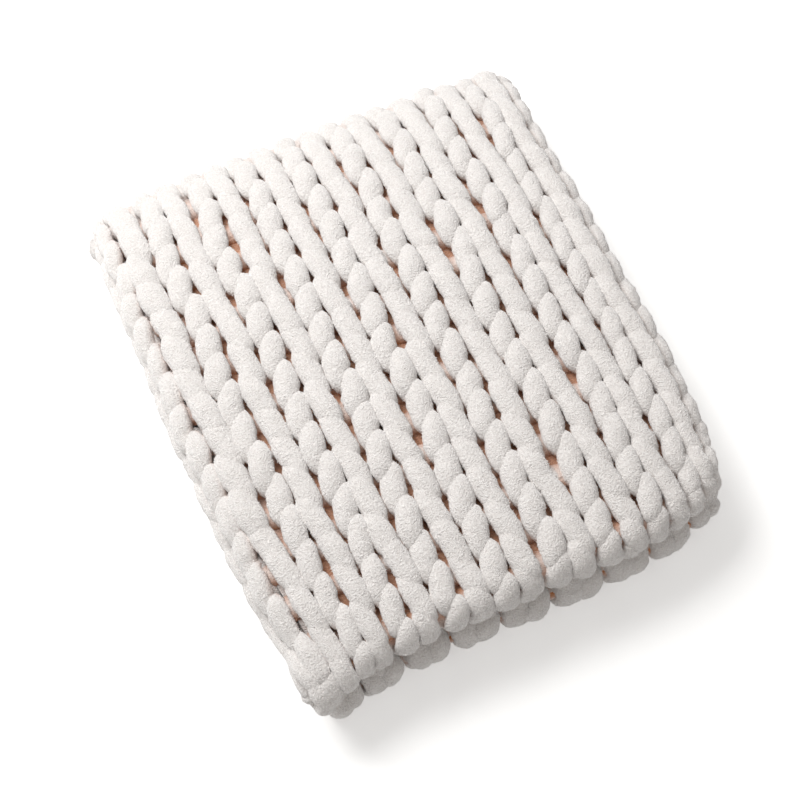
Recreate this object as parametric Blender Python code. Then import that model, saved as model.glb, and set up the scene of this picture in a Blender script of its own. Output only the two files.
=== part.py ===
"""Chenille throw blanket, knitted in jumbo yarn and folded into a pad of four layers.

The whole throw is one piece of cloth and one closed solid. The cloth is a strip with rounded
edges that runs back and forth: down the top layer, round a fold at the near side, and so on to
the bottom layer, which lies flat on the ground. Its right side carries the raised V stitches
wherever it shows: on the top layer and round the two near folds.

Metres, +Z up. X runs across the columns of stitches, Y along them, with the near side at -Y.
The origin is the centre of the underside.
"""

import math
from dataclasses import dataclass

import bpy
import numpy as np

# Knitting
WALE = 0.050  # one column of stitches: a V of two legs
COURSE = 0.0327  # one row of stitches, along a column
HALF_CLOTH = 0.2150  # half the width of the cloth, without its rounded edges
CLOTH_X = 0.0020  # X of the middle of the cloth
LATTICE_X = -0.0095  # from there to a column of open spots where the Vs part
LEG_LEAN = 0.5  # rows that a leg of the V runs over on its way across half a column
GAP_DEPTH = 0.0105  # depth of the open spot between legs, under the tops of the legs
SEAM_DEPTH = 0.0055  # depth of the crease between a leg and the next one
TOP_UNEVEN = 0.0012  # how much the legs rise and fall from one to the next

# Folded strip
LAYER = 0.0222  # thickness of the cloth, top of a leg to its back
APART = 0.0030  # clear space between layers
EDGE_OUT = 0.0085  # how far the rounded side edge stands out past the last column
EDGE_LUMP = 0.0030  # how much a leg at the side edge stands out past the crease beside it
END_ROUND = ((0.0090, 0.45), (0.0055, 0.85))  # reach past the last row, share of the thickness
FOLD_COURSES = 2.2  # rows of stitches that open up round the outside of a near fold
TUCK_COURSES = 1.2  # rows of cloth that turn round the far fold, right side in
TOP_END = 0.2620  # Y of the top layer's end, at the far side
TOP_FOLD = -0.2400  # Y where the fold under the top layer begins
FAR_FOLD = 0.2050  # Y where the far fold of the two middle layers begins
LOW_FOLD = -0.2490  # Y where the fold of the two lowest layers begins
LOW_END = 0.2160  # Y of the bottom layer's end
SIDE_WANDER = 0.0020  # how far the layers shift sideways on their way

# Settled shape
HALF_X = 0.2290
HALF_Y = 0.2700
FAR_SINK = 0.20  # share of the height that the far side loses
FAR_SINK_FROM = 0.040  # Y where that starts
NEAR_SINK = 0.07
NEAR_SINK_FROM = -0.150
SIDE_SINK = 0.10
TAIL_FROM = 0.1860  # Y where the top layer starts to hang over the far fold
TAIL_DROP = 0.024  # how far its end has dropped
LEFT_DRIFT = 0.025  # how far the left edge draws in towards the near side
LEFT_DRIFT_FROM = -0.120  # Y where that starts
RIGHT_TUCK = 0.014  # how far the top's right edge curls in over the lower layers

# Mesh
ROWS_PER_COURSE = 3  # where the stitches show
HIDDEN_ROWS = 2  # rows of points to a course on the straight runs elsewhere
FOLD_ROWS = 5  # and on the far fold
STEPS_PER_WALE = 6
PLAIN_STEPS = 4  # steps across a face that carries no stitches
EDGE_POINTS = ((0.50, 1.0), (-0.50, 1.0))  # height, reach: shares of half the layer, of EDGE_OUT

PITCH = LAYER + APART
FOLD_RADIUS = PITCH / 2
PAD_HEIGHT = LAYER + 3 * PITCH
CREAM = (0.84, 0.80, 0.755, 1.0)


@dataclass(frozen=True)
class Corner:
    """How one corner of the folded pad lies."""

    side_x: int  # -1 left, +1 right
    side_y: int  # -1 near, +1 far
    in_x: float  # pulled in along X, metres
    in_y: float
    sink: float  # share of the height that it loses


CORNERS = (
    Corner(-1, -1, 0.004, -0.005, 0.12),
    Corner(+1, -1, 0.026, 0.024, 0.10),
    Corner(-1, +1, 0.002, 0.002, 0.02),
    Corner(+1, +1, -0.004, 0.004, 0.02),
)


@dataclass(frozen=True)
class Stretch:
    """One straight run or one fold of the strip, with the rows of knitting that it takes."""

    name: str
    courses: float
    height: float  # of the middle of the cloth, or of the fold's centre
    start_y: float
    end_y: float
    facing: float  # degrees from +Y to the way that the right side faces, at the start
    turn: float  # degrees that it turns by on this stretch
    side: int  # +1 with the right side out on a fold, -1 with it in


def layer_height(number):
    """Height of the middle of a layer, counted from 0 at the bottom."""
    return LAYER / 2 + number * PITCH


def straight(name, number, start_y, end_y, facing):
    courses = abs(end_y - start_y) / COURSE
    return Stretch(name, courses, layer_height(number), start_y, end_y, facing, 0, 1)


def fold(name, upper, y, courses, side):
    """A half turn from layer upper down to the one below it."""
    height = (layer_height(upper) + layer_height(upper - 1)) / 2
    facing, turn = (90, 180) if side > 0 else (270, -180)
    return Stretch(name, courses, height, y, y, facing, turn, side)


STRIP = (
    straight("top layer", 3, TOP_END, TOP_FOLD, 90),
    fold("top fold", 3, TOP_FOLD, FOLD_COURSES, +1),
    straight("second layer", 2, TOP_FOLD, FAR_FOLD, 270),
    fold("far fold", 2, FAR_FOLD, TUCK_COURSES, -1),
    straight("third layer", 1, FAR_FOLD, LOW_FOLD, 90),
    fold("low fold", 1, LOW_FOLD, FOLD_COURSES, +1),
    straight("bottom layer", 0, LOW_FOLD, LOW_END, 270),
)


def starts():
    """The count of courses at which each stretch starts, and after them the strip's whole length."""
    return np.concatenate([[0.0], np.cumsum([stretch.courses for stretch in STRIP])])


def lay(course):
    """Where the middle of the strip lies at each count of courses, and which way its right side faces."""
    bounds = starts()
    course = np.asarray(course, float)
    index = np.clip(np.searchsorted(bounds, course, side="right") - 1, 0, len(STRIP) - 1)
    y, z, facing = (np.zeros_like(course) for _ in range(3))
    for number, stretch in enumerate(STRIP):
        here = index == number
        share = (course[here] - bounds[number]) / stretch.courses
        angle = np.radians(stretch.facing + stretch.turn * share)
        reach = FOLD_RADIUS * stretch.side if stretch.turn else 0.0
        y[here] = stretch.start_y + (stretch.end_y - stretch.start_y) * share + reach * np.cos(angle)
        z[here] = stretch.height + reach * np.sin(angle)
        facing[here] = angle
    return y, z, facing


def leg_share(x):
    """0 over the columns of open spots where the Vs part, 1 over those where they meet."""
    phase = np.mod(x - LATTICE_X, WALE) / WALE
    return 1 - np.abs(2 * phase - 1)


def relief(x, row):
    """How far the right side lies under the tops of the legs.

    A leg fills the band from one whole row number to the next. It is highest along the middle
    of the band and halfway between two columns of open spots.
    """
    across = np.abs(np.sin(2 * math.pi * (x - LATTICE_X) / WALE)) ** 0.7
    along = np.abs(np.sin(math.pi * row)) ** 0.7
    wave = np.sin(61 * x + 1.7 * row) * np.sin(37 * x - 2.3 * row)
    low = SEAM_DEPTH * (1 - across) + (GAP_DEPTH - SEAM_DEPTH) * (1 - across) * (1 - along)
    return low + SEAM_DEPTH * (1 - along) * across + TOP_UNEVEN * (0.5 + 0.5 * wave)


def settle(points, on_top):
    """Lets the folded pad settle: lower at its sides, drawn in at its corners, its tail hanging.

    Every term is a smooth function of the place, so that layers that lie apart stay apart. Only
    the tail of the top layer (on_top) has a drop of its own.
    """
    x, y, z = points.T
    across = np.clip(np.abs(x) / HALF_X, 0, 1.1)
    along = np.clip(np.abs(y) / HALF_Y, 0, 1.1)
    sink = FAR_SINK * np.clip((y - FAR_SINK_FROM) / (HALF_Y - FAR_SINK_FROM), 0, 1.1) ** 1.6
    sink = sink + NEAR_SINK * np.clip((NEAR_SINK_FROM - y) / (HALF_Y + NEAR_SINK_FROM), 0, 1.1) ** 2
    sink = sink + SIDE_SINK * across**4
    new_x, new_y = x.copy(), y.copy()
    for corner in CORNERS:
        here = (corner.side_x * x > 0) & (corner.side_y * y > 0)
        weight = np.where(here, across**4 * along**4, 0)
        new_x = new_x - corner.side_x * corner.in_x * weight
        new_y = new_y - corner.side_y * corner.in_y * weight
        sink = sink + corner.sink * weight
    towards_near = np.clip((LEFT_DRIFT_FROM - y) / (HALF_Y + LEFT_DRIFT_FROM), 0, 1.1)
    new_x = new_x + LEFT_DRIFT * towards_near**2 * np.clip(-x / HALF_X, 0, 1.1) ** 2
    new_x = new_x - RIGHT_TUCK * z / PAD_HEIGHT * np.clip(x / HALF_X, 0, 1.1) ** 4
    hang = np.clip((y - TAIL_FROM) / (HALF_Y - TAIL_FROM), 0, 1.1) ** 2
    new_z = z * (1 - sink) - np.where(on_top, TAIL_DROP * hang, 0)
    return np.column_stack([new_x, new_y, new_z])


@dataclass(frozen=True)
class Section:
    """One section across the strip, at a count of courses from its start."""

    row: float
    lean: float = 0.0  # courses that its chevrons lean by
    stitches: bool = False  # whether the right side has a column of points for every step of a stitch
    relief: float = 0.0  # share of the stitches' depth
    reach: float = 0.0  # metres past the strip's end, on a rounded end
    body: float = 1.0  # share of the layer's thickness


def stitched_sections(start, stop, lean_in):
    """Chevrons that follow the legs, leaning in over the first rows, and a straight row after them."""
    numbers = np.arange(math.floor(start * ROWS_PER_COURSE), math.ceil(stop * ROWS_PER_COURSE) + 1)
    rows = numbers / ROWS_PER_COURSE
    leans = LEG_LEAN * np.clip((rows - start) / lean_in, 0, 1)
    found = [Section(row, lean, stitches=True, relief=1.0) for row, lean in zip(rows, leans)]
    return found + [Section(rows[-1] + LEG_LEAN + 1 / ROWS_PER_COURSE, stitches=True)]


def plain_sections(start, stop, rows_per_course):
    """Straight sections between two counts of courses, clear of both."""
    count = max(2, round((stop - start) * rows_per_course))
    return [Section(row) for row in np.linspace(start, stop, count + 1)[1:-1]]


def sections():
    """The sections from the end of the top layer to the end of the bottom one.

    Stitches show on the top layer, the top fold and the low fold. Their rows run on a little
    way to where the layers hide them.
    """
    bounds = starts()
    margin = 1 / ROWS_PER_COURSE
    top = stitched_sections(0.0, bounds[2] + margin, 1.0)
    low = stitched_sections(bounds[5] - LEG_LEAN - 1.0, bounds[6] + margin, 1.0)
    far_fold = (bounds[3] - margin, bounds[4] + margin)
    found = [Section(0.0, stitches=True, reach=-out, body=body) for out, body in END_ROUND] + top
    found += plain_sections(top[-1].row, far_fold[0], HIDDEN_ROWS)
    found += plain_sections(*far_fold, FOLD_ROWS)
    found += plain_sections(far_fold[1], low[0].row, HIDDEN_ROWS)
    found += [Section(low[0].row - margin, stitches=True)] + low
    found += plain_sections(low[-1].row, bounds[-1], HIDDEN_ROWS)
    found.append(Section(bounds[-1]))
    return found + [Section(bounds[-1], reach=out, body=body) for out, body in END_ROUND[::-1]]


def stitch_columns():
    """The X of each column of points across a face with stitches: steps of the knitting and both edges."""
    step = WALE / STEPS_PER_WALE
    reach = math.ceil(2 * HALF_CLOTH / step)
    lines = LATTICE_X + step * np.arange(-reach, reach + 1)
    inner = lines[np.abs(lines) < HALF_CLOTH - 0.4 * step]
    return np.concatenate([[-HALF_CLOTH], inner, [HALF_CLOTH]])


def ring(section):
    """The points round one section: right side, right edge, back and left edge, each a list of rows."""
    face_x = stitch_columns() if section.stitches else np.linspace(-HALF_CLOTH, HALF_CLOTH, PLAIN_STEPS + 1)
    back_x = np.linspace(HALF_CLOTH, -HALF_CLOTH, PLAIN_STEPS + 1)
    course = section.row + section.lean * leg_share(face_x)
    depth = section.relief * relief(face_x, section.row)
    edge_course = np.array([course[-1], course[0]])
    back_course = np.interp(back_x, [-HALF_CLOTH, HALF_CLOTH], edge_course[::-1])
    lump = EDGE_LUMP * (0.5 - 0.5 * np.cos(2 * math.pi * edge_course))
    face = place(face_x, course, LAYER / 2 * section.body - depth, section.reach)
    back = place(back_x, back_course, np.full(len(back_x), -LAYER / 2 * section.body), section.reach)
    edges = []
    for side, at, bulge in ((1, edge_course[0], lump[0]), (-1, edge_course[1], lump[1])):
        shares = EDGE_POINTS if side > 0 else EDGE_POINTS[::-1]
        height = np.array([LAYER / 2 * section.body * share for share, _ in shares])
        out = np.array([reach for _, reach in shares]) * (EDGE_OUT + bulge) * section.body
        edges.append(place(side * (HALF_CLOTH + out), np.full(len(shares), at), height, section.reach))
    return face, edges[0], back, edges[1]


def place(x, course, height, reach):
    """Points at a count of courses along the strip, so far across it and so high over its middle.

    A reach goes on in a straight line past the strip's end, below 0 at its start.
    """
    bounds = starts()
    inside = np.clip(course, bounds[0], bounds[-1])
    y, z, facing = lay(inside)
    past = reach + (course - inside) * COURSE
    y = y + height * np.cos(facing) - past * np.sin(facing)
    z = z + height * np.sin(facing)
    wander = SIDE_WANDER * (np.sin(0.19 * course + 0.8) + 0.35 * np.sin(1.3 * course))
    return settle(np.column_stack([x + CLOTH_X + wander, y, z]), inside < bounds[1])


def zip_rows(upper, lower, points):
    """Triangles between two rows of points that may differ in number."""
    faces = []
    i, j = 0, 0
    while i < len(upper) - 1 or j < len(lower) - 1:
        if j == len(lower) - 1:
            step_upper = True
        elif i == len(upper) - 1:
            step_upper = False
        elif len(upper) == len(lower) and i != j:
            step_upper = i < j
        elif len(upper) == len(lower):
            one = np.linalg.norm(points[upper[i + 1]] - points[lower[j]])
            other = np.linalg.norm(points[upper[i]] - points[lower[j + 1]])
            step_upper = one <= other
        else:
            step_upper = (i + 1) / (len(upper) - 1) <= (j + 1) / (len(lower) - 1)
        if step_upper:
            faces.append((upper[i], lower[j], upper[i + 1]))
            i += 1
        else:
            faces.append((upper[i], lower[j], lower[j + 1]))
            j += 1
    return faces


def cloth_mesh():
    """Points and triangles of the whole strip."""
    points, rings = [], []
    count = 0
    for section in sections():
        sides = ring(section)
        indices = []
        for side in sides:
            indices.append(list(range(count, count + len(side))))
            points.append(side)
            count += len(side)
        rings.append(indices)
    points = np.concatenate(points)
    faces = []
    for before, after in zip(rings[:-1], rings[1:]):
        for side in range(4):
            corner = (side + 1) % 4
            faces += zip_rows(before[side] + before[corner][:1], after[side] + after[corner][:1], points)
    for (face, right, back, left), flip in ((rings[0], True), (rings[-1], False)):
        upper = left[-1:] + face + right[:1]
        lower = (right[1:] + back + left[:-1])[::-1]
        cap = zip_rows(upper, lower, points)
        faces += [triangle[::-1] for triangle in cap] if flip else cap
    return points, faces


def chenille():
    """Cream chenille: soft, matt pile."""
    material = bpy.data.materials.new("cream_chenille")
    material.use_nodes = True
    shader = material.node_tree.nodes["Principled BSDF"]
    shader.inputs["Base Color"].default_value = CREAM
    shader.inputs["Roughness"].default_value = 0.95
    shader.inputs["Metallic"].default_value = 0.0
    return material


def build_throw():
    points, faces = cloth_mesh()
    low, high = points.min(axis=0), points.max(axis=0)
    points = points - [(low[0] + high[0]) / 2, (low[1] + high[1]) / 2, low[2]]
    mesh = bpy.data.meshes.new("throw_cloth")
    mesh.from_pydata(points.tolist(), [], faces)
    mesh.shade_smooth()
    mesh.materials.append(chenille())
    throw = bpy.data.objects.new("throw_cloth", mesh)
    bpy.context.scene.collection.objects.link(throw)
    return throw


def main():
    for thing in list(bpy.data.objects):
        bpy.data.objects.remove(thing, do_unlink=True)
    build_throw()


main()
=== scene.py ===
"""Looks of the folded chenille throw: its jumbo yarn, stitch by stitch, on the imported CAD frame.

The throw is stocking stitch in one strand of jumbo chenille yarn, folded back and forth into four
layers. Each course of the knitting is a run of loops: a leg comes up from the back, leans outward
over the front, tucks under the next course and turns round behind it. The strand follows the same
folded strip as the CAD solid and settles much as it does. A thin cloth behind the legs stands for
the backs of the stitches, and two crossing strands under the free end are the cast-off edge.

Metres, +Z up. X runs across the columns of stitches, Y along them, with the near side at -Y.
"""

import logging
import math
from dataclasses import dataclass
from enum import Enum

import bpy
import numpy as np
from mathutils import Matrix, Vector

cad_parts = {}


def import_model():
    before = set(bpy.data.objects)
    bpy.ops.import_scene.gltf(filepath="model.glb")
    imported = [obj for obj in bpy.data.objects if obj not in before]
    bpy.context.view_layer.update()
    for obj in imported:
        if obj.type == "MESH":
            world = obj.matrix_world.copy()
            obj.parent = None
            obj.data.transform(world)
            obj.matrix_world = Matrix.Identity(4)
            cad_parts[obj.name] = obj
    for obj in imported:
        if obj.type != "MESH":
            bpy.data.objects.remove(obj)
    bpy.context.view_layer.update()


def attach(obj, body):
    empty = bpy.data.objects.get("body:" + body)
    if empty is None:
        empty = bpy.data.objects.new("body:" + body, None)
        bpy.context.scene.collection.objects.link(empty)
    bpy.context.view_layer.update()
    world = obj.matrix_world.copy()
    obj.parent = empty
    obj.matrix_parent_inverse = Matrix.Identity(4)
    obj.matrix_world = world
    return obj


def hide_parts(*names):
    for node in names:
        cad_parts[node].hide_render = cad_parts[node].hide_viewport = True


LOG = logging.getLogger("chenille_throw")
CLOTH_NODE = "throw_cloth"
FULL_TURN = 2 * math.pi
JUST_ABOVE = 0.001  # how far over a path lies the point that shows which way is up


class Side(Enum):
    """Which way the right side of the knitting faces round a fold."""

    OUT = 1
    IN = -1


@dataclass(frozen=True)
class Knit:
    """Sizes of the knitting, in metres, and shares of them.

    A loop starts between two columns of Vs, at the back. Its strand swings sideways by swing, runs
    up and down its column by rise, squared up by square, and comes to the front on its two legs by
    lift, as steeply as steep says, from seat. Tuck sinks the near end of a leg under the next one.
    The left leg of each V lies straighter in its column than the right one, by bias, longer, by
    left_longer, and level for longer, by flat_left against flat_right, so that the left legs look
    like one rope. The two legs lie apart by twice the spread.
    """

    wale: float = 0.050
    course: float = 0.0327
    swing: float = 0.0073
    bias: float = 0.0010
    rise: float = 0.0226
    left_longer: float = 0.0040
    square: float = 0.0030
    lift: float = 0.0072
    steep: float = 1.8
    seat: float = -0.0038
    tuck: float = 0.0006
    spread: float = 0.0003
    flat_left: float = 0.75
    flat_right: float = 0.42


@dataclass(frozen=True)
class Yarn:
    """How thick the strand is, in metres, and how its thickness changes, as shares of it.

    A leg is fullest along its middle, by foot_fuller, waist and oval, the left ones less so, by the
    share left_even. The loose stitches between edge_from and edge_full on both sides are fuller, by
    edge_fuller, and more so along their middle, by edge_waist. Lumps are waves of these lengths
    along the strand, and ruffles are waves in space that push the pile in and out. Room is the
    least and the most that the drape changes the strand.
    """

    half_width: float = 0.0107
    half_depth: float = 0.0082
    foot_fuller: float = -0.01
    waist: float = 0.01
    oval: float = 0.10
    left_even: float = 0.35
    edge_from: float = 0.192
    edge_full: float = 0.207
    edge_waist: float = 0.16
    edge_fuller: float = 0.15
    lumpy: float = 0.08
    lumps: tuple[float, ...] = (0.031, 0.047, 0.083, 0.019)
    ruffle: float = 0.00045
    ruffles: tuple[float, ...] = (0.012, 0.016, 0.023, 0.031)
    room: tuple[float, float] = (0.65, 1.03)


@dataclass(frozen=True)
class Stray:
    """How far hand knitting strays, in metres.

    Across, along and lift are for each leg by itself, and column is how far the legs of one column
    stray together, in waves of so many courses.
    """

    across: float = 0.0020
    along: float = 0.0024
    lift: float = 0.0014
    column: float = 0.0026
    waves: tuple[float, float] = (3.7, 6.1)
    spread: float = 0.6
    most: float = 1.3


def ramp(value: np.ndarray, start: float, end: float, most: float = 1.0) -> np.ndarray:
    """Rises evenly from nothing at start to one at end, and goes on rising up to most."""
    return np.clip((value - start) / (end - start), 0, most)


@dataclass(frozen=True)
class Stretch:
    """One straight run or one fold of the strip, with the rows of knitting that it takes.

    Facing is the angle from +Y to the right side's normal where it starts, and turn is how far that
    changes, both in degrees.
    """

    courses: float
    height: float
    start_y: float
    end_y: float
    facing: float
    turn: float
    side: Side


@dataclass(frozen=True)
class Strip:
    """The folded strip of cloth: the same back-and-forth section as the CAD solid, in metres.

    Roll is how the top layer's free end turns down, over its first courses. Wander is how far the
    strip strays sideways, in a slow wave and a quick one.
    """

    knit: Knit = Knit()
    layer: float = 0.0222
    apart: float = 0.0030
    fold_courses: float = 2.2
    tuck_courses: float = 1.2
    top_end: float = 0.2655
    top_fold: float = -0.2400
    far_fold: float = 0.2050
    low_fold: float = -0.2430
    low_end: float = 0.2160
    roll_courses: float = 0.42
    roll_radius: float = 0.0100
    roll_most: float = 1.35
    wander: float = 0.0020
    slow_wave: tuple[float, float] = (0.19, 0.8)
    quick_wave: tuple[float, float] = (1.3, 0.35)
    cloth_x: float = 0.0020
    middle: tuple[float, float] = (0.0013, -0.0015)

    @property
    def pitch(self) -> float:
        """Height from one layer to the next."""
        return self.layer + self.apart

    @property
    def fold_radius(self) -> float:
        """Radius of a fold, to the middle of the cloth."""
        return self.pitch / 2

    @property
    def pad_height(self) -> float:
        """Height of the four layers."""
        return self.layer + 3 * self.pitch

    def stretches(self) -> list[Stretch]:
        """The straight runs and folds, from the end of the top layer to the end of the bottom one.

        Returns:
            One Stretch for each, in order.
        """

        def level(number: int) -> float:
            """Height of the middle of a layer."""
            return self.layer / 2 + number * self.pitch

        def straight(number: int, start: float, end: float, facing: float) -> Stretch:
            """A straight run along one layer."""
            courses = abs(end - start) / self.knit.course
            return Stretch(courses, level(number), start, end, facing, 0, Side.OUT)

        def fold(upper: int, y: float, courses: float, side: Side) -> Stretch:
            """A fold from one layer to the one below it."""
            facing, turn = (90, 180) if side is Side.OUT else (270, -180)
            return Stretch(courses, (level(upper) + level(upper - 1)) / 2, y, y, facing, turn, side)

        return [
            straight(3, self.top_end, self.top_fold, 90),
            fold(3, self.top_fold, self.fold_courses, Side.OUT),
            straight(2, self.top_fold, self.far_fold, 270),
            fold(2, self.far_fold, self.tuck_courses, Side.IN),
            straight(1, self.far_fold, self.low_fold, 90),
            fold(1, self.low_fold, self.fold_courses, Side.OUT),
            straight(0, self.low_fold, self.low_end, 270),
        ]

    def starts(self) -> np.ndarray:
        """The count of courses at which each stretch starts, and after them the whole length."""
        return np.concatenate([[0.0], np.cumsum([stretch.courses for stretch in self.stretches()])])

    def lay(self, course: np.ndarray) -> tuple[np.ndarray, np.ndarray, np.ndarray]:
        """Where the middle of the strip lies, and which way its right side faces.

        On a straight run y goes evenly from one end to the other. On a fold the point goes round
        the fold's centre at the fold's radius. Past the bottom layer's end the strip runs on
        straight, and the free end of the top layer rolls down round an arc.

        Args:
            course: counts of courses from the end of the top layer.

        Returns:
            Y, height, and the angle in radians from +Y to the right side's normal.
        """
        bounds = self.starts()
        inside = np.clip(course, bounds[0], bounds[-1])
        past = (course - inside) * self.knit.course
        y, z, facing = (np.zeros_like(inside) for _ in range(3))
        stretches = self.stretches()
        index = np.clip(np.searchsorted(bounds, inside, side="right") - 1, 0, len(stretches) - 1)
        for number, stretch in enumerate(stretches):
            here = index == number
            share = (inside[here] - bounds[number]) / stretch.courses
            angle = np.radians(stretch.facing + stretch.turn * share)
            reach = self.fold_radius * stretch.side.value if stretch.turn else 0.0
            y[here] = stretch.start_y + (stretch.end_y - stretch.start_y) * share
            y[here] += reach * np.cos(angle)
            z[here] = stretch.height + reach * np.sin(angle)
            facing[here] = angle
        y = y - past * np.sin(facing)
        rolled = np.maximum(self.roll_courses - course, 0) * self.knit.course
        turn = np.minimum(rolled / self.roll_radius, self.roll_most)
        on = rolled - turn * self.roll_radius
        reach = self.roll_radius * np.sin(turn) + on * math.cos(self.roll_most)
        drop = self.roll_radius * (1 - np.cos(turn)) + on * math.sin(self.roll_most)
        return np.where(rolled > 0, y - rolled + reach, y), z - drop, facing - turn

    def stray(self, course: np.ndarray) -> np.ndarray:
        """How far the strip strays sideways: a slow sine wave plus a share of a quick one.

        Args:
            course: counts of courses along the strip.

        Returns:
            Distances across.
        """
        slow, start = self.slow_wave
        quick, share = self.quick_wave
        return self.wander * (np.sin(slow * course + start) + share * np.sin(quick * course))


@dataclass(frozen=True)
class Ladder:
    """Loose stitches beside one column of legs, near a corner, where larger gaps open.

    Seam is the place across where the cloth opens, by wider, over opens. The legs from there to
    reach move across, those over the last fades less and less. Middle and half say which courses.
    """

    seam: float = -0.2095
    middle: float = 14.6
    half: float = 2.6
    wider: float = 0.0055
    opens: float = 0.012
    reach: float = 0.10
    fades: float = 0.09

    def shift(self, across: np.ndarray, course: np.ndarray) -> np.ndarray:
        """How far the legs move across.

        It is wider, times a ramp up through the seam, times a ramp down to the reach, times one
        less the square of the courses from the middle over half.

        Args:
            across: distance across the cloth, from its middle.
            course: counts of courses along the strip.

        Returns:
            Distances across.
        """
        opened = ramp(across, self.seam - self.opens / 2, self.seam + self.opens / 2)
        faded = ramp(self.seam + self.reach - across, 0, self.fades)
        loose = np.clip(1 - ((course - self.middle) / self.half) ** 2, 0, 1)
        return self.wider * opened * faded * loose


@dataclass(frozen=True)
class Corner:
    """How one corner of the folded pad lies: its sides, its pull inwards, its sinking share."""

    side_x: int
    side_y: int
    in_x: float
    in_y: float
    sink: float


@dataclass(frozen=True)
class Settling:
    """How the pad has settled: lower at its sides and far end, its corners in, its tail hanging.

    Sizes are in metres and sinks are shares of the height. Beyond is how far past the pad's own
    half sizes the settling still grows.
    """

    half_x: float = 0.2290
    half_y: float = 0.2700
    beyond: float = 1.1
    far_sink: float = 0.20
    far_sink_from: float = 0.040
    far_power: float = 1.6
    near_sink: float = 0.07
    near_sink_from: float = -0.150
    side_sink: float = 0.10
    tail_from: float = 0.1860
    tail_drop: float = 0.024
    left_drift: float = 0.024
    left_drift_from: float = 0.100
    right_tuck: float = 0.021
    corners: tuple[Corner, ...] = (
        Corner(-1, -1, 0.015, -0.026, 0.12),
        Corner(+1, -1, 0.020, 0.040, 0.10),
        Corner(-1, +1, 0.000, 0.013, 0.02),
        Corner(+1, +1, -0.010, 0.000, 0.02),
    )

    def settle(self, points: np.ndarray, tail: np.ndarray, height: float) -> np.ndarray:
        """Moves points of the flat stack to where they settle, much as the CAD solid does.

        Each height is scaled by one minus a sum of powers of how far out the point lies, and each
        corner is pulled in by the product of the fourth powers of its two distances. The left side
        drifts in towards the near end, and the right one tucks in with its height.

        Args:
            points: places in the flat stack, one row each.
            tail: whether each point is on the top layer, whose end hangs.
            height: height of the flat stack.

        Returns:
            The settled places.
        """
        x, y, z = points.T
        across = ramp(np.abs(x), 0, self.half_x, self.beyond)
        along = ramp(np.abs(y), 0, self.half_y, self.beyond)
        far = ramp(y, self.far_sink_from, self.half_y, self.beyond)
        near = ramp(y, self.near_sink_from, -self.half_y, self.beyond)
        sink = self.far_sink * far**self.far_power + self.near_sink * near**2
        sink = sink + self.side_sink * across**4
        new_x, new_y = x.copy(), y.copy()
        for corner in self.corners:
            here = (corner.side_x * x > 0) & (corner.side_y * y > 0)
            weight = np.where(here, across**4 * along**4, 0)
            new_x = new_x - corner.side_x * corner.in_x * weight
            new_y = new_y - corner.side_y * corner.in_y * weight
            sink = sink + corner.sink * weight
        drift = ramp(y, self.left_drift_from, -self.half_y, self.beyond)
        new_x = new_x + self.left_drift * drift**2 * ramp(-x, 0, self.half_x, self.beyond) ** 2
        new_x = new_x - self.right_tuck * z / height * ramp(x, 0, self.half_x, self.beyond) ** 4
        hang = ramp(y, self.tail_from, self.half_y, self.beyond) ** 2
        new_z = z * (1 - sink) - np.where(tail, self.tail_drop * hang, 0)
        return np.column_stack([new_x, new_y, new_z])


@dataclass(frozen=True)
class Edge:
    """How a side edge of a layer curls down: where the curl starts, its radius, its widest turn.

    Squeeze is the share of its width that a curled edge keeps. Round a fold the edge can't curl:
    there it lies flat, drawn in to the share flat, and the curl grows back over near_fold courses.
    """

    start: float = 0.2055
    radius: float = 0.013
    most: float = 1.30
    squeeze: float = 0.80
    flat: float = 0.50
    near_fold: float = 1.6


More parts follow.
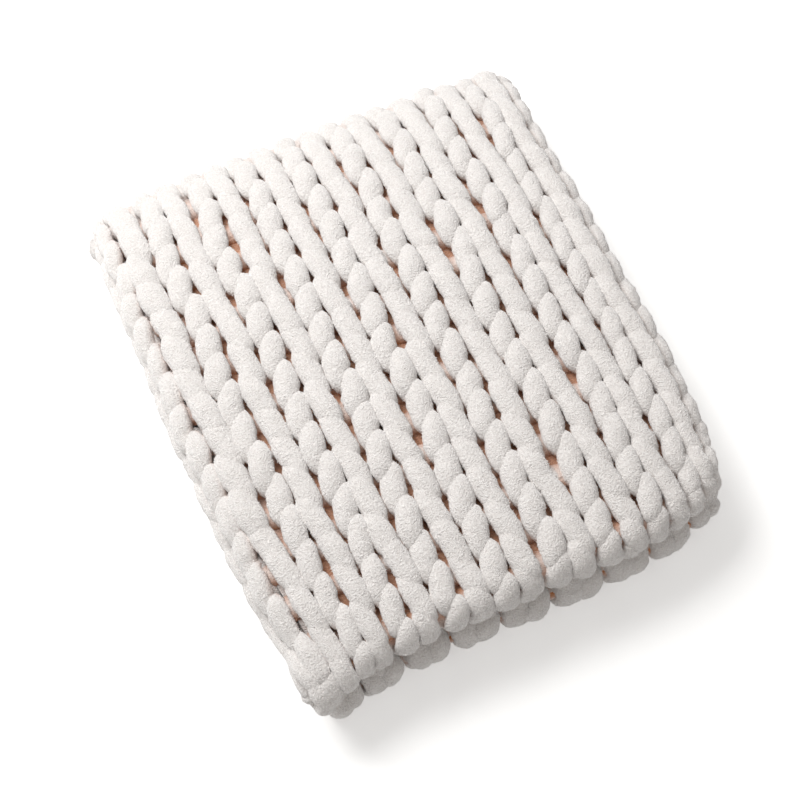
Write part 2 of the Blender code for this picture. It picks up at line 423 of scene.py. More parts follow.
@dataclass(frozen=True)
class Drape:
    """Places points of the cloth in space: first on the folded strip, then settled."""

    strip: Strip = Strip()
    ladder: Ladder = Ladder()
    settling: Settling = Settling()
    edge: Edge = Edge()

    def curl(
        self, across: np.ndarray, course: np.ndarray, lift: np.ndarray
    ) -> tuple[np.ndarray, np.ndarray]:
        """Rolls the side edges down.

        Past the curl's start the cloth goes round an arc, and after its widest turn straight on.
        The curl fades in over a few courses from each fold.

        Args:
            across: distance across the cloth, from its middle.
            course: counts of courses along the strip.
            lift: height over the middle of the cloth.

        Returns:
            The curled distance across and the curled lift.
        """
        edge = self.edge
        bounds = self.strip.starts()
        away = np.full_like(course, np.inf)
        for number, stretch in enumerate(self.strip.stretches()):
            if stretch.turn:
                outside = np.maximum(bounds[number] - course, course - bounds[number + 1])
                away = np.minimum(away, np.maximum(outside, 0))
        share = ramp(away, 0, edge.near_fold)
        share = share * share * (3 - 2 * share)
        straight = edge.start + (np.abs(across) - edge.start) * edge.flat
        past = np.maximum(np.abs(across) - edge.start, 0) * edge.squeeze
        turn = np.minimum(past / edge.radius, edge.most)
        on = past - turn * edge.radius
        reach = (edge.radius + lift) * np.sin(turn) + on * math.cos(edge.most)
        drop = edge.radius - (edge.radius + lift) * np.cos(turn) + on * math.sin(edge.most)
        curled = past > 0
        out = np.sign(across) * (share * (edge.start + reach) + (1 - share) * straight)
        return np.where(curled, out, across), np.where(curled, lift - share * (drop + lift), lift)

    def place(self, across: np.ndarray, course: np.ndarray, lift: np.ndarray) -> np.ndarray:
        """Places points of the cloth in space.

        The ladder opens, the side edges curl, the strip folds and strays, and the stack settles.

        Args:
            across: distance across the cloth, from its middle.
            course: counts of courses along the strip.
            lift: height over the middle of the cloth, towards its right side.

        Returns:
            One row of X, Y, Z for each point.
        """
        strip = self.strip
        out, raised = self.curl(across + self.ladder.shift(across, course), course, lift)
        y, z, facing = strip.lay(course)
        x = out + strip.cloth_x + strip.stray(course)
        flat = np.column_stack([x, y + raised * np.cos(facing), z + raised * np.sin(facing)])
        tail = course < strip.starts()[1]
        settled = self.settling.settle(flat, tail, strip.pad_height)
        return settled - np.array([*strip.middle, 0.0])


def linear(code: str) -> tuple[float, float, float, float]:
    """Turns an sRGB hex value into linear colour.

    Args:
        code: six hex digits.

    Returns:
        Red, green, blue and alpha, linear.
    """
    parts = [int(code[i : i + 2], 16) / 255 for i in (0, 2, 4)]
    red, green, blue = (c / 12.92 if c <= 0.04045 else ((c + 0.055) / 1.055) ** 2.4 for c in parts)
    return red, green, blue, 1.0


def unit(vectors: np.ndarray) -> np.ndarray:
    """Vectors of length one, in the same directions."""
    return vectors / np.maximum(np.linalg.norm(vectors, axis=-1, keepdims=True), 1e-12)


def grid_mesh(name: str, grid: np.ndarray, deep: np.ndarray) -> bpy.types.Mesh:
    """A closed mesh over rings of points, with a cap at each end.

    Args:
        name: the mesh's name.
        grid: points, of shape (rings, points of a ring, 3).
        deep: the share of painted shade at each point, from 0 to 1, which the material mixes into
            the colour.

    Returns:
        The mesh, shaded smooth.
    """
    rows, columns = grid.shape[:2]
    left = np.arange(rows * columns).reshape(rows, columns)
    right = np.roll(left, -1, axis=1)
    quads = np.stack([left[:-1], right[:-1], right[1:], left[1:]], axis=-1).reshape(-1, 4)
    faces = quads.tolist() + [left[0, ::-1].tolist(), left[-1].tolist()]
    mesh = bpy.data.meshes.new(name)
    mesh.from_pydata(grid.reshape(-1, 3).tolist(), [], faces)
    mesh.shade_smooth()
    mark_painted_shade(mesh, deep)
    return mesh


def mark_painted_shade(mesh: bpy.types.Mesh, deep: np.ndarray) -> None:
    """Writes the share of painted shade at each point, from 0 to 1: warm brown shade where the
    cloth lies deep.
    """
    mesh.attributes.new("deep", "FLOAT", "POINT").data.foreach_set("value", deep.reshape(-1))


def on_floor(points: np.ndarray) -> np.ndarray:
    """Lifts what would be under the floor up to it."""
    return np.concatenate([points[..., :2], np.maximum(points[..., 2:], 0)], axis=-1)


def frames(centre: np.ndarray, over: np.ndarray) -> tuple[np.ndarray, np.ndarray]:
    """Directions of width and depth for a section carried along a path.

    The path's direction comes from its neighbours' difference. The width is square to it and to the
    way up, and the depth is square to both.

    Args:
        centre: the path's points.
        over: a point just above each of them.

    Returns:
        The width's and the depth's direction at each point.
    """
    ahead = unit(np.gradient(centre, axis=0))
    side = unit(np.cross(unit(over - centre), ahead))
    return side, unit(np.cross(ahead, side))


def add_object(mesh: bpy.types.Mesh, material: bpy.types.Material) -> bpy.types.Object:
    """Puts a mesh into the scene with its material.

    Args:
        mesh: the mesh, in the object's frame.
        material: its finish.

    Returns:
        The new object.
    """
    mesh.materials.append(material)
    piece = bpy.data.objects.new(mesh.name, mesh)
    bpy.context.scene.collection.objects.link(piece)
    return piece


@dataclass(frozen=True)
class Chenille:
    """Polyester chenille yarn: short soft pile, cut and brushed, that scatters light without gloss.

    The pile gives the strand a fine grain and soft tufts, here as light and shade and as bump. Real
    fibres are finer than show at this size, so the grain is drawn as coarse as needed. Between the
    strands the light goes from pile to pile and turns a warm brown, which is painted into the
    colour as warm brown shade where the cloth lies deep.
    """

    pile: str = "F6F3F0"
    tuft: str = "DAD4D0"
    # warm brown painted shade, mixed into the colour where the cloth lies deep between strands
    painted_shade: str = "CA834F"
    grain_mm: float = 1.6
    grain_range: tuple[float, float] = (0.30, 0.70)
    tuft_mm: float = 4.0
    tuft_share: float = 0.35
    bump_mm: float = 2.3
    roughness: float = 0.95
    specular: float = 0.15
    sheen: float = 0.9
    sheen_roughness: float = 0.45

    def add(
        self,
        tree: bpy.types.NodeTree,
        kind: str,
        settings: dict[str | int, object],
        links: dict[str | int, bpy.types.NodeSocket],
    ) -> bpy.types.Node:
        """Adds a node with its settings and links.

        Args:
            tree: the node tree.
            kind: the node's type.
            settings: attributes, or input values under the input's name or number.
            links: the output socket that feeds each input.

        Returns:
            The node.
        """
        node = tree.nodes.new(kind)
        for name, value in settings.items():
            if isinstance(name, int) or name in node.inputs:
                node.inputs[name].default_value = value
            else:
                setattr(node, name, value)
        for name, socket in links.items():
            tree.links.new(socket, node.inputs[name])
        return node

    def bump(
        self, tree: bpy.types.NodeTree, place: bpy.types.NodeSocket, grain: bpy.types.NodeSocket
    ) -> bpy.types.NodeSocket:
        """Adds the relief of the pile: its grain plus a share of its soft tufts.

        Args:
            tree: the node tree.
            place: the place on the object.
            grain: the fine grain.

        Returns:
            The bumped normal.
        """
        size = {"Scale": 1000 / self.tuft_mm, "Detail": 1.0, "Roughness": 0.5}
        tufts = self.add(tree, "ShaderNodeTexNoise", size, {"Vector": place}).outputs["Fac"]
        share = {"operation": "MULTIPLY_ADD", 1: self.tuft_share}
        both = self.add(tree, "ShaderNodeMath", share, {0: tufts, 2: grain}).outputs["Value"]
        height = {"Strength": 1.0, "Distance": self.bump_mm / 1000}
        return self.add(tree, "ShaderNodeBump", height, {"Height": both}).outputs["Normal"]

    def material(self, name: str, grained: bool) -> bpy.types.Material:
        """The chenille as a material, with its pile, tufts, and painted warm brown shade where the
        cloth lies deep.

        Args:
            name: the material's name.
            grained: whether the surface has the pile's relief. Loose fibres have none of their own.

        Returns:
            The material.
        """
        made = bpy.data.materials.new(name)
        made.use_nodes = True
        tree = made.node_tree
        inputs = tree.nodes["Principled BSDF"].inputs
        place = self.add(tree, "ShaderNodeTexCoord", {}, {}).outputs["Object"]
        size = {"Scale": 1000 / self.grain_mm, "Detail": 2.0, "Roughness": 0.7}
        grain = self.add(tree, "ShaderNodeTexNoise", size, {"Vector": place}).outputs["Fac"]
        least, most = self.grain_range
        limits = {"From Min": least, "From Max": most}
        spread = self.add(tree, "ShaderNodeMapRange", limits, {"Value": grain})
        shades = {"data_type": "RGBA", 6: linear(self.tuft), 7: linear(self.pile)}
        shade = self.add(tree, "ShaderNodeMix", shades, {0: spread.outputs["Result"]})
        # painted shade: the deep attribute gives how much of the warm brown shade goes into the
        # colour
        deep = self.add(tree, "ShaderNodeAttribute", {"attribute_name": "deep"}, {})
        painted_shade_settings = {"data_type": "RGBA", 7: linear(self.painted_shade)}
        sources = {0: deep.outputs["Fac"], 6: shade.outputs[2]}
        painted_shade_mix = self.add(tree, "ShaderNodeMix", painted_shade_settings, sources)
        tree.links.new(painted_shade_mix.outputs[2], inputs["Base Color"])
        if grained:
            tree.links.new(self.bump(tree, place, grain), inputs["Normal"])
        inputs["Roughness"].default_value = self.roughness
        inputs["Metallic"].default_value = 0.0
        inputs["Specular IOR Level"].default_value = self.specular
        inputs["Sheen Weight"].default_value = self.sheen
        inputs["Sheen Roughness"].default_value = self.sheen_roughness
        return made


@dataclass(frozen=True)
class Run:
    """The courses of knitting in one piece of the strand, and how finely it is drawn.

    First and courses count rows, wales counts columns, and left is where the first column starts.
    Steps are points along a loop and sides are points round the strand. Flakes is how many loose
    fibres it has. Paired is how far each leg lies nearer to the other leg of its V, and fullness
    scales the strand.
    """

    name: str
    first: float
    courses: int
    wales: int
    left: float
    steps: int
    sides: int
    seed: int
    flakes: int = 0
    paired: float = 0.0
    fullness: float = 1.0


@dataclass(frozen=True)
class Line:
    """The strand's middle line in the flat cloth, with one value for each point.

    Across and lift are in metres, course counts courses along the strip, and angle is the loop's
    own angle t, which goes round once for each loop.
    """

    across: np.ndarray
    course: np.ndarray
    lift: np.ndarray
    angle: np.ndarray


@dataclass(frozen=True)
class PaintedShade:
    """Where warm brown painted shade goes into the cloth's colour, as shares from 0 to 1.

    It comes in from the height top down to low. It is missing on the side edges and weak near the
    top layer's free end, where light gets in.
    """

    top: float = 0.0040
    low: float = -0.0060
    side_from: float = 0.020
    side_full: float = 0.040
    end_from: float = 0.3
    end_full: float = 1.8
    end_least: float = 0.15
    back: float = 0.8
    back_side: float = 0.205
    back_full: float = 0.175
    back_least: float = 0.1

    def near_end(self, course: np.ndarray) -> np.ndarray:
        """The share at each course: little at the free end, and one from end_full on."""
        return np.maximum(ramp(course, self.end_from, self.end_full), self.end_least)

    def on_strand(self, line: Line, height: np.ndarray, half: float) -> np.ndarray:
        """The share on the strand's surface, with a row of heights for each point of its line."""
        inner = ramp(half - np.abs(line.across), self.side_from, self.side_full)
        return (inner * self.near_end(line.course))[:, None] * ramp(height, self.top, self.low)

    def on_back(self, across: np.ndarray, course: np.ndarray) -> np.ndarray:
        """The share on the backs of the stitches."""
        inner = ramp(np.abs(across), self.back_side, self.back_full)
        return self.back * self.near_end(course) * np.maximum(inner, self.back_least)


@dataclass(frozen=True)
class Strand:
    """The jumbo yarn, carried along the loops of the knitting."""

    drape: Drape = Drape()
    knit: Knit = Knit()
    yarn: Yarn = Yarn()
    stray: Stray = Stray()
    painted_shade_in_hollows: PaintedShade = PaintedShade()
    turn_steps: int = 5
    turn_bulge: float = 0.006
    room_step: float = 0.002
    most_wales: int = 12
    sway_seed: int = 5
    ruffle_seed: int = 7
    lump_seed: int = 100

    def jitter(self, run: Run, rng: np.random.Generator) -> np.ndarray:
        """Hand-knit unevenness: a smooth hump of random height on each leg.

        The hump is the square of the sine of the loop's own angle, so that it is nothing at the
        back of the loop, where one stitch meets the next.

        Args:
            run: the courses.
            rng: the seeded source of chance.

        Returns:
            Values of about -1 to 1, of shape (courses, wales, steps).
        """
        angle = np.linspace(0, FULL_TURN, run.steps, endpoint=False)
        left = np.where(angle < math.pi, np.sin(angle) ** 2, 0)
        right = np.where(angle >= math.pi, np.sin(angle) ** 2, 0)
        size = rng.normal(0, self.stray.spread, (2, run.courses, run.wales, 1))
        size = size.clip(-self.stray.most, self.stray.most)
        return size[0] * left + size[1] * right

    def sway(self, run: Run, angle: np.ndarray) -> np.ndarray:
        """How far the legs of one column stray sideways together.

        It is the mean of two sine waves of the count of courses, whose phases differ for each
        column of legs, times the square of sin t.

        Args:
            run: the courses.
            angle: the loop's angle at each of its points.

        Returns:
            Distances across, of shape (courses, wales, steps).
        """
        rng = np.random.default_rng(self.sway_seed)
        phase = rng.uniform(0, FULL_TURN, (2, 2, self.most_wales))[:, :, None, : run.wales, None]
        number = (run.first + np.arange(run.courses))[:, None, None]
        waves = np.array(self.stray.waves)[:, None, None, None, None]
        left, right = np.sin(FULL_TURN * number / waves + phase).sum(axis=0) / 2
        return self.stray.column * np.where(angle < math.pi, left, right) * np.sin(angle) ** 2

    def path(self, run: Run) -> Line:
        """The strand's middle line in the cloth, course after course.

        With t going round once for each loop, the place across is an even advance plus sin 2t times
        swing less bias times sin t, less spread times sin t. The place along is rise times -cos t,
        squared up with a little cos 3t. The lift is lift times the hyperbolic tangent of steep
        times (flat less cos 2t), so that a leg lies level along its middle and dives at both its
        ends, less tuck times cos t, which sinks the near end of each leg under the next one.

        Args:
            run: the courses.

        Returns:
            The line.
        """
        knit, stray = self.knit, self.stray
        rng = np.random.default_rng(run.seed)
        angle = np.linspace(0, FULL_TURN, run.steps, endpoint=False)
        left_share = 0.5 + 0.5 * np.sin(angle)
        swing = (knit.swing - knit.bias * np.sin(angle)) * np.sin(2 * angle)
        swing = swing - (knit.spread - run.paired) * np.sin(angle)
        along = -(knit.rise + knit.left_longer * left_share) * np.cos(angle)
        along = along + knit.square * np.cos(3 * angle)
        flat = knit.flat_right + (knit.flat_left - knit.flat_right) * left_share
        lift = knit.seat + knit.lift * np.tanh(knit.steep * (flat - np.cos(2 * angle)))
        lift = lift - knit.tuck * (1 - self.yarn.left_even * left_share) * np.cos(angle)
        number = run.first + np.arange(run.courses)[:, None, None]
        advance = knit.wale * (np.arange(run.wales)[None, :, None] + angle / FULL_TURN)
        across = run.left + advance + swing + stray.across * self.jitter(run, rng)
        across = across + self.sway(run, angle)
        course = number - (along + stray.along * self.jitter(run, rng)) / knit.course
        raised = lift + stray.lift * self.jitter(run, rng)
        turns = np.broadcast_to(angle, across.shape)
        across = self.join(across, self.turn_bulge)
        return Line(across, self.join(course), self.join(raised), self.join(turns))

    def join(self, part: np.ndarray, bulge: float = 0.0) -> np.ndarray:
        """Joins the courses into one strand that runs to and fro and turns at the side edges.

        Args:
            part: values of shape (courses, wales, steps).
            bulge: how far the turns stand out, to the side that they are on.

        Returns:
            The values along the whole strand.
        """
        rows = [row.reshape(-1)[:: 1 if number % 2 == 0 else -1] for number, row in enumerate(part)]
        share = np.arange(1, self.turn_steps + 1) / (self.turn_steps + 1)
        joined = [rows[0]]
        for number, row in enumerate(rows[1:]):
            last = joined[-1][-1]
            side = 1 if number % 2 == 0 else -1
            joined += [last + (row[0] - last) * share + side * bulge * np.sin(math.pi * share), row]
        return np.concatenate(joined)

    def fullness(self, run: Run, line: Line, centre: np.ndarray) -> np.ndarray:
        """How full the strand is, as a share of its section's sizes.

        It is one, less the waist times cos 2t, plus the oval times cos 4t, so that a leg is slimmer
        at its ends, with slow lumpy waves along the strand, and scaled at the side edges and by the
        room that the drape leaves.

        Args:
            run: the courses.
            line: the strand's middle line.
            centre: that line's places in space.

        Returns:
            One share for each point of the line.
        """
        yarn = self.yarn
        length = np.concatenate([[0], np.cumsum(np.linalg.norm(np.diff(centre, axis=0), axis=1))])
        rng = np.random.default_rng(run.seed + self.lump_seed)
        waves = zip(yarn.lumps, rng.uniform(0, FULL_TURN, len(yarn.lumps)))
        lumps = sum(np.sin(FULL_TURN * length / wave + phase) for wave, phase in waves)
        loose = ramp(np.abs(line.across), yarn.edge_from, yarn.edge_full)
        shaped = 1 - yarn.left_even * (0.5 + 0.5 * np.sin(line.angle))
        waist = yarn.waist * shaped + yarn.edge_waist * loose
        full = 1 + yarn.lumpy * lumps / len(yarn.lumps) - waist * np.cos(2 * line.angle)
        full = full + yarn.foot_fuller * shaped * np.cos(line.angle)
        full = full + yarn.oval * shaped * np.cos(4 * line.angle)
        return run.fullness * full * (1 + yarn.edge_fuller * loose) * self.room(line)

    def room(self, line: Line) -> np.ndarray:
        """How much room across the cloth the drape leaves the strand, as a share of the flat one's.

        It is how far apart two points land that lie a little to either side, over how far apart
        they lie in the flat cloth.

        Args:
            line: the strand's middle line.

        Returns:
            One share for each point, between the yarn's two limits.
        """
        level = np.zeros_like(line.lift)
        steps = (-self.room_step, self.room_step)
        ends = [self.drape.place(line.across + step, line.course, level) for step in steps]
        apart = np.linalg.norm(ends[1] - ends[0], axis=1)
        return np.clip(apart / (2 * self.room_step), *self.yarn.room)

    def ruffle(self, grid: np.ndarray, out: np.ndarray) -> np.ndarray:
        """Pushes the pile in and out by half a millimetre with smooth waves in space.

        Each wave is the product of two sine waves in two directions by chance.

        Args:
            grid: the strand's points.
            out: the way outwards at each of them.

        Returns:
            The moved points.
        """
        rng = np.random.default_rng(self.ruffle_seed)
        push = np.zeros(grid.shape[:2])
        for wave in self.yarn.ruffles:
            way, other = (unit(rng.normal(size=(1, 3)))[0] * FULL_TURN / wave for _ in range(2))
            push += np.sin(grid @ way) * np.sin(grid @ other)
        return grid + out * (push * self.yarn.ruffle)[..., None]

    def tube(self, run: Run) -> tuple[np.ndarray, np.ndarray, np.ndarray]:
        """Carries the strand's section, an ellipse wider than deep, along its line.

        Args:
            run: the courses.

        Returns:
            A grid of points, the share of painted shade at each from 0 to 1, and its height over
            the middle of the cloth.
        """
        line = self.path(run)
        centre = self.drape.place(line.across, line.course, line.lift)
        over = self.drape.place(line.across, line.course, line.lift + JUST_ABOVE)
        side, top = (way[:, None] for way in frames(centre, over))
        full = self.fullness(run, line, centre)[:, None]
        around = np.linspace(0, FULL_TURN, run.sides, endpoint=False)
        wide = self.yarn.half_width * full * np.cos(around)
        deep = self.yarn.half_depth * full * np.sin(around)
        grid = centre[:, None] + side * wide[..., None] + top * deep[..., None]
        height = line.lift[:, None] + deep
        # painted shade: warm brown shade on the strand where it lies deep in the cloth, less near
        # the side edges
        painted_shade = self.painted_shade_in_hollows.on_strand(line, height, self.knit.wale * run.wales / 2)
        out = side * np.cos(around)[None, :, None] + top * np.sin(around)[None, :, None]
        return on_floor(self.ruffle(grid, out)), painted_shade, height

    def build(self, run: Run, material: bpy.types.Material) -> bpy.types.Object:
        """Makes one piece of the strand."""
        grid, painted_shade, _ = self.tube(run)
        return add_object(grid_mesh(run.name, grid, painted_shade), material)


@dataclass(frozen=True)
class Pile:
    """The longest fibres of the chenille, which stand out of the strand and blur its outline.

    Real fibres are hair-thin and in their millions. Each one here is a small flake of one face that
    stands for a tuft of them, brushed half flat. Lengths and leans are the least and the most of
    its length and of upright, as shares of them.
    """

    strand: Strand = Strand()
    length: float = 0.0018
    lengths: tuple[float, float] = (0.6, 1.2)
    base: float = 0.0008
    upright: float = 0.60
    leans: tuple[float, float] = (0.3, 1.7)
    twist: float = 0.25
    sunk: float = 0.0003
    lowest: float = -0.004
    seed: int = 500

    def flakes(self, run: Run) -> tuple[np.ndarray, np.ndarray]:
        """Scatters flakes over the upper side of one piece of the strand.

        Each flake starts at a random place on the strand's surface and points along a random
        tangent plus a share of the surface's normal. Its width is square to both, with a little
        chance, so that its face looks outwards.

        Args:
            run: the courses.

        Returns:
            The three corners of each flake, and the share of painted shade where it stands, from 0
            to 1.
        """
        grid, painted_shade, height = self.strand.tube(run)
        rng = np.random.default_rng(run.seed + self.seed)
        across = (np.roll(grid, -1, axis=1) - np.roll(grid, 1, axis=1)) / 2
        normal = np.cross(across, np.gradient(grid, axis=0))
        shown = np.argwhere(height[:-1] > self.lowest)
        area = np.linalg.norm(normal[shown[:, 0], shown[:, 1]], axis=-1)
        row, column = shown[rng.choice(len(shown), run.flakes, p=area / area.sum())].T
        beside = (column + 1) % grid.shape[1]
        u, v = rng.random((2, run.flakes, 1))
        near = grid[row, column] * (1 - v) + grid[row, beside] * v
        far = grid[row + 1, column] * (1 - v) + grid[row + 1, beside] * v
        out = unit(normal[row, column])
        root = near * (1 - u) + far * u - out * self.sunk
        tangent = unit(np.cross(out, rng.normal(size=(run.flakes, 3))))
        way = unit(tangent + out * self.upright * rng.uniform(*self.leans, (run.flakes, 1)))
        flat = unit(unit(np.cross(way, out)) + self.twist * rng.normal(size=(run.flakes, 3)))
        tip = root + way * self.length * rng.uniform(*self.lengths, (run.flakes, 1))
        half = flat * self.base / 2
        return on_floor(np.stack([root - half, root + half, tip], axis=1)), painted_shade[row, column]

    def build(self, run: Run, material: bpy.types.Material) -> bpy.types.Object:
        """Makes the fibres of one piece of the strand. Like real ones, they cast no shadows to see.

        Args:
            run: the courses.
            material: their finish.

        Returns:
            The piece.
        """
        corners, deep = self.flakes(run)
        mesh = bpy.data.meshes.new(run.name.replace("yarn", "pile"))
        faces = np.arange(3 * run.flakes).reshape(-1, 3)
        mesh.from_pydata(corners.reshape(-1, 3).tolist(), [], faces.tolist())
        # the flakes carry the painted shade of the strand where they stand
        mark_painted_shade(mesh, np.repeat(deep, 3))
        piece = add_object(mesh, material)
        piece.visible_shadow = False
        return piece


@dataclass(frozen=True)
class CastOff:
    """The cast-off edge: two strands that cross over each other under the top layer's free end."""

    drape: Drape = Drape()
    course: float = 0.36
    lift: float = -0.0085
    reach: float = 0.0050
    pitch: float = 0.050
    half_length: float = 0.2100
    half_width: float = 0.0082
    steps: int = 150
    sides: int = 14
    # share of warm brown painted shade on the cast-off strands, which lie in shade under the free
    # end
    deep: float = 0.15

    def build(self, name: str, shift: float, material: bpy.types.Material) -> bpy.types.Object:
        """Makes one of the two strands.

        It goes round the edge's middle line in a helix: the place along is reach times the cosine,
        and the lift is reach times the sine, of 2 pi across over the pitch plus the shift.

        Args:
            name: the piece's name.
            shift: where on the helix it starts, in radians.
            material: its finish.

        Returns:
            The piece.
        """
        across = np.linspace(-self.half_length, self.half_length, self.steps)
        angle = FULL_TURN * across / self.pitch + shift
        course = self.course + self.reach * np.cos(angle) / self.drape.strip.knit.course
        lift = self.lift + self.reach * np.sin(angle)
        centre = self.drape.place(across, course, lift)
        side, top = frames(centre, self.drape.place(across, course, lift + JUST_ABOVE))
        around = np.linspace(0, FULL_TURN, self.sides, endpoint=False)[:, None]
        ring = side[:, None] * np.cos(around) + top[:, None] * np.sin(around)
        grid = on_floor(centre[:, None] + ring * self.half_width)
        return add_object(grid_mesh(name, grid, np.full(grid.shape[:2], self.deep)), material)


@dataclass(frozen=True)
class BackCloth:
    """The back of the knitting: the loops' heads and feet, felted into a cloth behind the legs.

    Short is by how many courses it stops before each end of the strip.
    """

    drape: Drape = Drape()
    painted_shade_in_hollows: PaintedShade = PaintedShade()
    half_width: float = 0.2080
    depth: float = 0.0090
    half_body: float = 0.0025
    short: tuple[float, float] = (0.3, 0.2)
    rows_per_course: int = 4
    steps: int = 60

    def build(self, material: bpy.types.Material) -> bpy.types.Object:
        """Makes the cloth: a thin closed strip along the whole folded length.

        Each section is a flat ring, its front and back a fixed depth under the middle of the cloth.

        Args:
            material: its finish.

        Returns:
            The piece.
        """
        length = self.drape.strip.starts()[-1]
        count = int(length * self.rows_per_course)
        half = np.linspace(-self.half_width, self.half_width, self.steps + 1)
        ring = np.concatenate([half, half[::-1]])
        body = np.repeat([self.half_body, -self.half_body], len(half)) - self.depth
        across, lift = np.tile(ring, count), np.tile(body, count)
        rows = np.linspace(self.short[0], length - self.short[1], count)
        course = np.repeat(rows, len(ring))
        grid = self.drape.place(across, course, lift).reshape(count, len(ring), 3)
        # painted shade: warm brown on the backs of the stitches, less at the side edges and the
        # free end
        deep = self.painted_shade_in_hollows.on_back(across, course)
        return add_object(grid_mesh("back_cloth", grid, deep), material)

    def flat_size(self) -> tuple[float, float]:
        """The width and length that the cloth is knitted to."""
        strip = self.drape.strip
        return 2 * self.half_width, float(strip.starts()[-1]) * strip.knit.course


@dataclass(frozen=True)
class Layout:
    """How the strand is shared out into pieces, layer by layer.

    The lower layers are one column narrower, so that their side edges lie inside the top one's, and
    coarser where they are hidden. A piece runs on by past after its fold, or stops short of it.
    """

    first: float = 0.15
    far_courses: int = 9
    past: float = 1.2
    short_of_fold: float = 0.6
    short_of_end: float = 0.3
    wales: int = 10
    left: float = -0.2595
    lower_in: float = 0.0345
    steps: int = 40
    sides: int = 16
    hidden_steps: int = 16
    hidden_sides: int = 10
    fold_sides: int = 20

    def runs(self, strip: Strip) -> list[Run]:
        """The pieces that the strand is made in.

        Args:
            strip: the folded strip.

        Returns:
            The runs of courses, from the top layer's free end on.
        """
        bounds = strip.starts()
        top = int(bounds[2] - self.first + self.past) - self.far_courses
        near = self.first + self.far_courses
        second = near + top
        middle = int(bounds[5] - second - self.short_of_fold)
        low = second + middle
        fold = int(bounds[6] + self.past - low) + 1
        bottom = low + fold
        last = int(bounds[-1] - bottom - self.short_of_end)
        upper = (self.wales, self.left, self.steps, self.sides)
        hidden = (self.wales - 1, self.left + self.lower_in, self.hidden_steps, self.hidden_sides)
        folded = (self.wales - 1, self.left + self.lower_in, self.steps, self.fold_sides)
        full = {"flakes": 80000, "paired": 0.0045, "fullness": 1.22}
        return [
            Run("yarn_top_layer_far", self.first, self.far_courses, *upper, 10, flakes=170000),
            Run("yarn_top_layer_near", near, top, *upper, 11, flakes=180000),
            Run("yarn_middle_layers", second, middle, *hidden, 12),
            Run("yarn_low_fold", low, fold, *folded, 13, **full),
            Run("yarn_bottom_layer", bottom, last, *hidden, 14),
        ]


@dataclass(frozen=True)
class Lamp:
    """A soft square light that faces the throw: its place and side in metres, and its watts."""

    name: str
    place: tuple[float, float, float]
    size: float
    watts: float


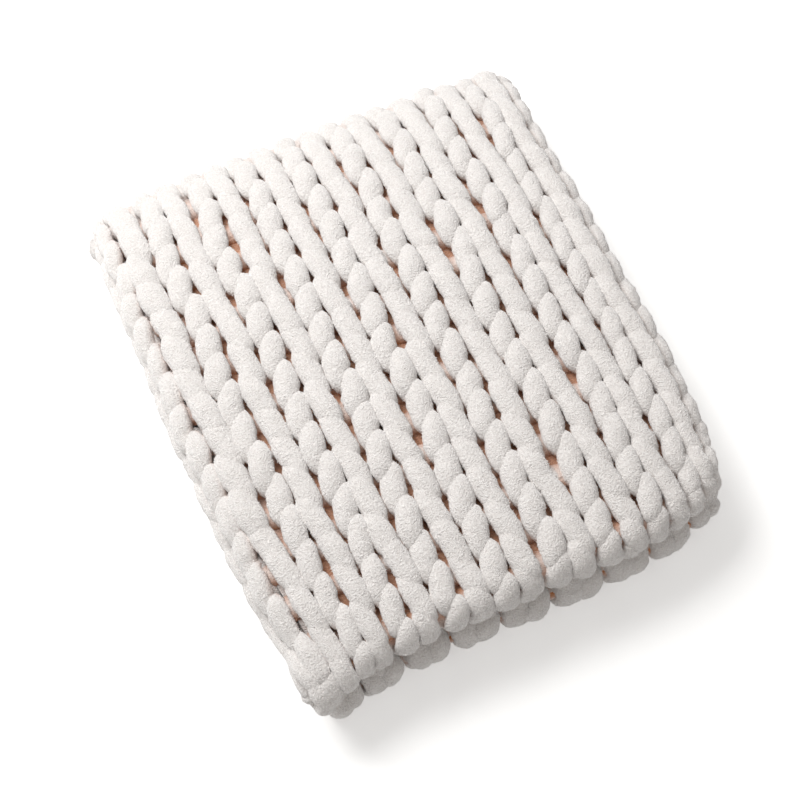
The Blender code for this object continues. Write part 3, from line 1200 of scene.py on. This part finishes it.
@dataclass(frozen=True)
class Studio:
    """A plain pale floor, soft light from the far left and above, and a camera as in the photo.

    The floor has a faint glow of its own, for the light that a real studio's white walls add.
    """

    lens: float = 67.5
    sensor: float = 36.0
    nearest: float = 0.01
    place: tuple[float, float, float] = (-0.2620, -0.5779, 1.2875)
    ahead: tuple[float, float, float] = (0.1730, 0.3942, -0.9026)
    upward: tuple[float, float, float] = (0.3628, 0.8265, 0.4305)
    floor_half: float = 6.0
    floor_colour: str = "FBFBFA"
    floor_roughness: float = 0.9
    floor_glow: float = 0.30
    air_colour: tuple[float, float, float, float] = (1.0, 0.965, 0.94, 1.0)
    air_strength: float = 0.34
    lamps: tuple[Lamp, ...] = (
        Lamp("key", (-0.50, 0.84, 1.30), 1.0, 29),
        Lamp("fill", (0.3, 0.4, 2.6), 2.6, 9),
    )

    def camera(self) -> None:
        """Adds the camera and looks through it."""
        data = bpy.data.cameras.new("camera")
        data.lens = self.lens
        data.sensor_width = self.sensor
        data.clip_start = self.nearest
        camera = bpy.data.objects.new("camera", data)
        back = -Vector(self.ahead).normalized()
        up = Vector(self.upward).normalized()
        turn = Matrix((up.cross(back).normalized(), up, back)).transposed().to_4x4()
        camera.matrix_world = Matrix.Translation(self.place) @ turn
        bpy.context.scene.collection.objects.link(camera)
        bpy.context.scene.camera = camera

    def floor(self) -> None:
        """Adds the plain pale floor."""
        mesh = bpy.data.meshes.new("floor")
        half = self.floor_half
        corners = [(-half, -half, 0), (half, -half, 0), (half, half, 0), (-half, half, 0)]
        mesh.from_pydata(corners, [], [(0, 1, 2, 3)])
        material = bpy.data.materials.new("pale_floor")
        material.use_nodes = True
        inputs = material.node_tree.nodes["Principled BSDF"].inputs
        inputs["Base Color"].default_value = linear(self.floor_colour)
        inputs["Roughness"].default_value = self.floor_roughness
        inputs["Emission Color"].default_value = (1.0, 1.0, 1.0, 1.0)
        inputs["Emission Strength"].default_value = self.floor_glow
        floor = add_object(mesh, material)

    def light(self, lamp: Lamp) -> None:
        """Adds one lamp, turned towards the throw.

        Args:
            lamp: its place, size and power.
        """
        data = bpy.data.lights.new(lamp.name, "AREA")
        data.size = lamp.size
        data.energy = lamp.watts
        light = bpy.data.objects.new(lamp.name, data)
        light.location = lamp.place
        light.rotation_euler = (-Vector(lamp.place)).to_track_quat("-Z", "Y").to_euler()
        bpy.context.scene.collection.objects.link(light)

    def build(self) -> None:
        """Adds the floor, the lights, the pale surroundings and the camera."""
        self.floor()
        for lamp in self.lamps:
            self.light(lamp)
        world = bpy.data.worlds.new("studio")
        world.use_nodes = True
        background = world.node_tree.nodes["Background"]
        background.inputs["Color"].default_value = self.air_colour
        background.inputs["Strength"].default_value = self.air_strength
        scene = bpy.context.scene
        scene.world = world
        scene.view_settings.view_transform = "Standard"
        scene.view_settings.exposure = 0.0
        self.camera()


def main() -> None:
    """Builds the throw's pieces and the studio, and reports each piece."""
    logging.basicConfig(level=logging.INFO, format="%(message)s")
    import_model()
    material = Chenille().material("cream_chenille_yarn", grained=True)
    fibres = Chenille().material("cream_chenille_fibres", grained=False)
    strand, pile, cast_off, back = Strand(), Pile(), CastOff(), BackCloth()
    pieces = []
    for run in Layout().runs(strand.drape.strip):
        pieces.append(strand.build(run, material))
        if run.flakes:
            pieces.append(pile.build(run, fibres))
    pieces.append(cast_off.build("cast_off_first", 0.0, material))
    pieces.append(cast_off.build("cast_off_second", math.pi, material))
    for piece in pieces:
        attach(piece, "root")
        LOG.info("%s: %d faces", piece.name, len(piece.data.polygons))
    cloth = back.build(material)
    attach(cloth, "root")
    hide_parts(CLOTH_NODE)
    back.flat_size()
    LOG.info("%s: %d faces", cloth.name, len(cloth.data.polygons))
    Studio().build()


if __name__ == "__main__":
    main()
